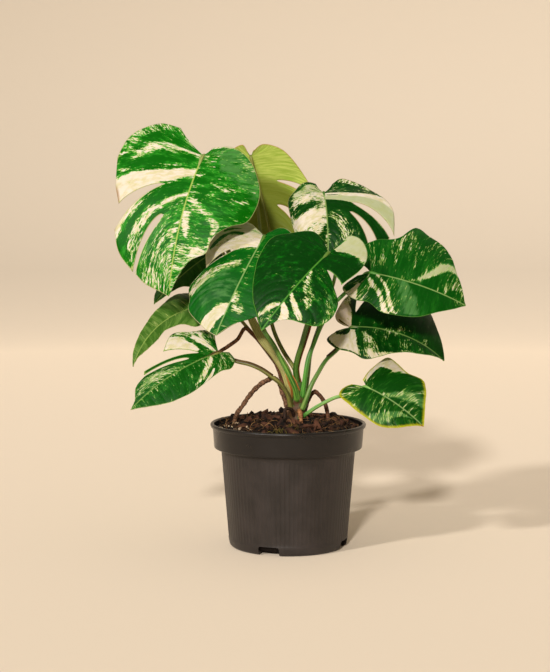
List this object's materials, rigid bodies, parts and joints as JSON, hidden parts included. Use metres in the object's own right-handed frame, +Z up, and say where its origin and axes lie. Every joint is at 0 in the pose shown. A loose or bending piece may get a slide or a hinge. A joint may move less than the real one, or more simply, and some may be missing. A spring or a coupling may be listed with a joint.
{
  "type": "potted monstera plant",
  "caption": "Variegated split-leaf monstera with arching stalks and aerial roots, growing in a round tapered nursery pot filled with bark mix.",
  "frame": {"origin": "centre of the pot's flat bottom, on the surface it stands on", "axes": "+Z up along the pot's axis; the leaves' display side faces -Y, and +X is to the right seen from there"},
  "size_m": [0.424, 0.2312, 0.516],
  "materials": {
    "pot_plastic": "satin black moulded polypropylene",
    "bark_mix": "loose dark brown bark and peat",
    "stem_green": "ridged green and brown stem",
    "leaf_variegated": "satin green leaf, marbled with cream",
    "root_bark": "rough brown root bark"
  },
  "bodies": {
    "root": {"pot": "pot_plastic", "potting_mix": "bark_mix", "stem": "stem_green", "leaf_top_left": "leaf_variegated", "leaf_top_back": "leaf_variegated", "leaf_top_right": "leaf_variegated", "leaf_mid_left": "leaf_variegated", "leaf_front": "leaf_variegated", "leaf_left": "leaf_variegated", "leaf_low_left": "leaf_variegated", "leaf_right": "leaf_variegated", "leaf_mid_right": "leaf_variegated", "leaf_low_right": "leaf_variegated", "leaf_back_left": "leaf_variegated", "root_left": "root_bark", "root_free": "root_bark", "root_right": "root_bark", "root_front_left": "root_bark", "root_front": "root_bark"}
  },
  "joints": []
}
